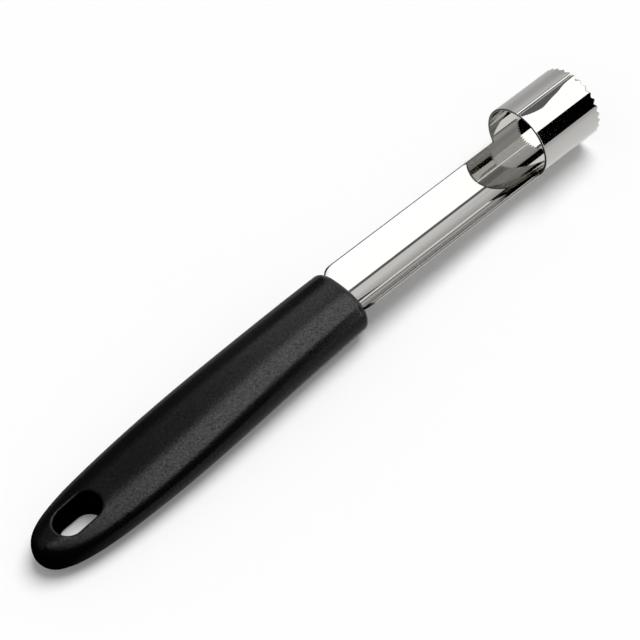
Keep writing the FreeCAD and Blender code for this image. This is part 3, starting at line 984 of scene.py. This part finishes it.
class CORER_OT_handle(bpy.types.Operator):
    """Make the moulded black handle with its rounded lip, nose and hanging slot"""

    bl_idname = "corer.handle"
    bl_label = "Make Handle"

    def execute(self, context):
        sizes = context.scene.corer_handle
        form = HandleForm(sizes)
        stations = handle_stations(sizes)
        bm = bmesh.new()
        known = {}

        def corner(row, step):
            key = (row, step % RING_POINTS)
            if key not in known:
                turn = 2 * math.pi * key[1] / RING_POINTS
                known[key] = bm.verts.new(form.ring_spot(stations[row], turn))
            return known[key]

        # The patches round the slot's two mouths take the place of these rows and steps of the rings
        margin = SLOT_PATCH_MARGIN * MM
        first_row = max(n for n, behind in enumerate(stations) if behind < form.slot_front - margin)
        last_row = min(n for n, behind in enumerate(stations) if behind > form.slot_back + margin)
        low_step = SLOT_PATCH_POINTS
        high_step = RING_POINTS // 2 - SLOT_PATCH_POINTS
        for row in range(len(stations) - 1):
            for step in range(-RING_POINTS // 2, RING_POINTS // 2):
                nearest = min(abs(step), abs(step + 1))
                farthest = max(abs(step), abs(step + 1))
                if first_row <= row < last_row and nearest >= low_step and farthest <= high_step:
                    continue
                bm.faces.new((
                    corner(row, step), corner(row, step + 1),
                    corner(row + 1, step + 1), corner(row + 1, step)))

        # Rings fill each patch from its border and go over the slot's mouth. The wall joins the two mouths.
        border = [(first_row, step) for step in range(low_step, high_step)]
        border += [(row, high_step) for row in range(first_row, last_row)]
        border += [(last_row, step) for step in range(high_step, low_step, -1)]
        border += [(row, low_step) for row in range(last_row, first_row, -1)]
        upper, lower = [
            slot_mouth(bm, form, [corner(row, side * step) for row, step in border], side, lean)
            for side, lean in ((1, 0.0), (-1, sizes.slot_draft))]
        ring = upper
        for number in range(1, WALL_RINGS):
            share = number / WALL_RINGS
            ring = add_ring(bm, ring, [top.co.lerp(bottom.co, share) for top, bottom in zip(upper, lower)])
        stretch_rings(bm, ring, lower)

        first, last = [[corner(row, step) for step in range(RING_POINTS)] for row in (0, len(stations) - 1)]
        close_ends(bm, form, first, last)
        bmesh.ops.recalc_face_normals(bm, faces=bm.faces)
        mesh = bpy.data.meshes.new("handle_moulding")
        bm.to_mesh(mesh)
        bm.free()
        mesh.shade_smooth()
        mesh.materials.append(grained_plastic())
        piece = bpy.data.objects.new("handle_moulding", mesh)
        context.scene.collection.objects.link(piece)
        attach(piece, "root")
        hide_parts("handle")
        return {"FINISHED"}


def soft_lamp(stage):
    """Wide far lamp overhead, which only lights and throws shadows and is in no reflection."""
    light = bpy.data.lights.new("lamp", "SUN")
    light.angle = stage.lamp_spread
    light.energy = stage.lamp_strength
    lamp = bpy.data.objects.new("lamp", light)
    lamp.rotation_euler = Vector(stage.lamp_side).to_track_quat("Z", "Y").to_euler()
    lamp.visible_camera = False
    lamp.visible_glossy = False
    return lamp


def white_surround(stage):
    """World that lights everything a little from all sides, and is plain white to look at."""
    world = bpy.data.worlds.new("studio")
    world.use_nodes = True
    world.node_tree.nodes.clear()
    tree = world.node_tree
    shown = seen_as_background(tree)
    strength = add_node(tree, "ShaderNodeMix", {}, {"Factor": shown, "A": stage.surround, "B": 1.0})
    background = add_node(tree, "ShaderNodeBackground", {}, {
        "Color": linear("#ffffff"), "Strength": strength,
    })
    add_node(tree, "ShaderNodeOutputWorld", {}, {"Surface": background})
    return world


def stage_camera(stage):
    """Camera above the tool's side, rolled a little, with the tool from corner to corner of its picture."""
    heading, dip, roll = stage.camera_heading, stage.camera_dip, stage.camera_roll
    look = Vector((math.cos(dip) * math.cos(heading), math.cos(dip) * math.sin(heading), -math.sin(dip)))
    level = look.cross(Vector((0, 0, 1))).normalized()
    upright = level.cross(look)
    across = level * math.cos(roll) + upright * math.sin(roll)
    above = upright * math.cos(roll) - level * math.sin(roll)
    data = bpy.data.cameras.new("camera")
    data.lens = stage.lens
    data.sensor_width = SENSOR_WIDTH
    data.clip_start = NEAREST_SEEN
    camera = bpy.data.objects.new("camera", data)
    camera.matrix_world = Matrix((
        (across.x, above.x, -look.x, stage.camera_place[0]),
        (across.y, above.y, -look.y, stage.camera_place[1]),
        (across.z, above.z, -look.z, stage.camera_place[2]),
        (0, 0, 0, 1),
    ))
    return camera


class CORER_OT_stage(bpy.types.Operator):
    """Set up the floor, the softbox, the cards round the object, the lamp and the camera"""

    bl_idname = "corer.stage"
    bl_label = "Set Up Stage"

    def execute(self, context):
        stage = corer_stage()
        scene = context.scene
        square = ((-1, -1), (1, -1), (1, 1), (-1, 1))
        floor = [(x * FLOOR_REACH, y * FLOOR_REACH, FLOOR_HEIGHT) for x, y in square]
        stage_card("floor", floor, pale_floor_paper(), hidden=False)
        ceiling = faded_card("ceiling cloth", "X", (560, 0.93), (680, 0.68))
        low_ceiling = faded_card("dim ceiling cloth", "X", (80, 0.15), (280, 0.93))
        fading = faded_card("softbox end cloth", "X", (-150, 0.1), (50, 1.85))
        wall = faded_card("side wall", "Z", (300, 0.55), (650, 0.85))
        front = faded_card("front board", "Y", (-120, 0.64), (-10, 0.88))
        # Painted shade: the handle boards stand in for the floor in the handle's shadow, seen in its
        # reflections
        dark = faded_card("painted floor shade board", "X", (-96, 0.0), (-66, 0.3))
        shade = faded_card("dark screen", "X", (120, 0.03), (260, 0.18))
        dim = card_material("softbox rim", "#ffffff", 0.17)
        pale = card_material("pale board", "#ffffff", 0.62)
        black = card_material("black flag", "#000000", 0.0)
        white = card_material("white card", "#ffffff", 1.9)
        bright = card_material("softbox cloth", "#ffffff", 1.85)

        # Flat cards, with their heights and corners. Over the object, from left to right in the picture,
        # are the ceiling, a rim and the softbox, which is cut short where the handle sees it. The boards
        # lie on the floor and show only in reflections. They draw in with the handle to its butt. The
        # front and back boards make the floor greyer in the blade's reflections. The handle, butt and
        # slot boards are painted shade: dark stand-ins for the floor in the handle's shadow, and the slot
        # board darkens the slot with painted shade.
        top = stage.softbox_height / MM
        flat_cards = (
            ("softbox_cloth", bright, top,
             ((50, -530), (250, -530), (330, -700), (1000, -700), (1000, 190), (50, 190))),
            ("softbox_end", fading, top, ((-250, -530), (50, -530), (50, 190), (-250, 190))),
            ("softbox_flap", black, top, ((-1400, -700), (330, -700), (250, -530), (-1400, -530))),
            ("dark_ceiling", black, top, ((-1400, -530), (-250, -530), (-250, 190), (-1400, 190))),
            ("softbox_rim", dim, top, ((280, 190), (1100, 190), (1100, 310), (280, 310))),
            ("ceiling", ceiling, top, ((280, 310), (1600, 310), (1600, 1500), (280, 1500))),
            ("low_ceiling", low_ceiling, top, ((-1400, 190), (280, 190), (280, 1500), (-1400, 1500))),
            ("front_board", front, BOARD_HEIGHT, ((45, -690), (900, -690), (900, -10), (45, -10))),
            ("back_board", pale, BOARD_HEIGHT, ((60, 12), (900, 12), (900, 780), (60, 780))),
            # Painted shade of the floor beside the handle, where its shadow falls
            ("handle_shade_board", dark, BOARD_HEIGHT,
             ((-96, -700), (45, -700), (45, -11), (-60, -11), (-96, -6))),
            ("handle_back_shade_board", dark, BOARD_HEIGHT,
             ((-96, 6), (-60, 11), (60, 12), (60, 690), (-96, 690))),
            # Painted shade: black stand-ins for the shadowed floor under the butt and in the slot
            ("butt_shade_board", black, BOARD_HEIGHT, ((-1400, -700), (-96, -700), (-96, 700), (-1400, 700))),
            ("slot_shade_board", black, SLOT_SHADE_BOARD_HEIGHT, ((-96, -6), (-65, -6), (-65, 6), (-96, 6))),
        )
        for name, material, height, corners in flat_cards:
            stage_card(name, [(x, y, height) for x, y in corners], material)

        # Screens that stand on the floor and reach up to the softbox, with their two lower corners
        screens = (
            ("side_wall", wall, (1250, 0), (460, 800)),
            ("black_side", black, (460, 800), (300, 791)),
            ("dark_side", shade, (300, 791), (-1400, 700)),
            ("black_flag", black, (-1400, -700), (1300, -700)),
            ("black_end", black, (-1400, -700), (-1400, 700)),
        )
        for name, material, left, right in screens:
            stage_card(name, ((*left, 0), (*right, 0), (*right, top), (*left, top)), material)

        # The white card's curved sides follow the shoulders and the tube's rear rim, so that only the shank
        # sees it
        curves = (
            (486, 0), (502, 133), (527, 237), (563, 351), (615, 483), (690, 644), (718, 700),
            (520, 700), (500, 654), (440, 493), (400, 360), (372, 246), (350, 140), (330, 0),
        )
        stage_card("white_card", [(x, WHITE_CARD_PLACE, z) for x, z in curves], white)

        lamp = soft_lamp(stage)
        scene.collection.objects.link(lamp)
        scene.world = white_surround(stage)
        scene.view_settings.view_transform = "Standard"
        scene.camera = stage_camera(stage)
        scene.collection.objects.link(scene.camera)
        return {"FINISHED"}


class CORER_PT_parts(bpy.types.Panel):
    """Apple corer"""

    bl_idname = "CORER_PT_parts"
    bl_label = "Apple Corer"
    bl_space_type = "VIEW_3D"
    bl_region_type = "UI"
    bl_category = "Corer"

    def draw(self, context):
        layout = self.layout
        for operator in (CORER_OT_blade, CORER_OT_handle, CORER_OT_stage):
            layout.operator(operator.bl_idname)
        for settings in (context.scene.corer_blade, context.scene.corer_handle, context.scene.corer_stage):
            box = layout.box()
            for name in settings.__annotations__:
                box.prop(settings, name)


CLASSES = (
    CorerBladeSettings,
    CorerHandleSettings,
    CorerStageSettings,
    CORER_OT_blade,
    CORER_OT_handle,
    CORER_OT_stage,
    CORER_PT_parts,
)


def register():
    for item in CLASSES:
        bpy.utils.register_class(item)
    bpy.types.Scene.corer_blade = bpy.props.PointerProperty(type=CorerBladeSettings)
    bpy.types.Scene.corer_handle = bpy.props.PointerProperty(type=CorerHandleSettings)
    bpy.types.Scene.corer_stage = bpy.props.PointerProperty(type=CorerStageSettings)


def unregister():
    del bpy.types.Scene.corer_stage
    del bpy.types.Scene.corer_handle
    del bpy.types.Scene.corer_blade
    for item in reversed(CLASSES):
        bpy.utils.unregister_class(item)


def main():
    register()
    bpy.ops.corer.blade()
    bpy.ops.corer.handle()
    bpy.ops.corer.stage()


if __name__ == "__main__":
    main()
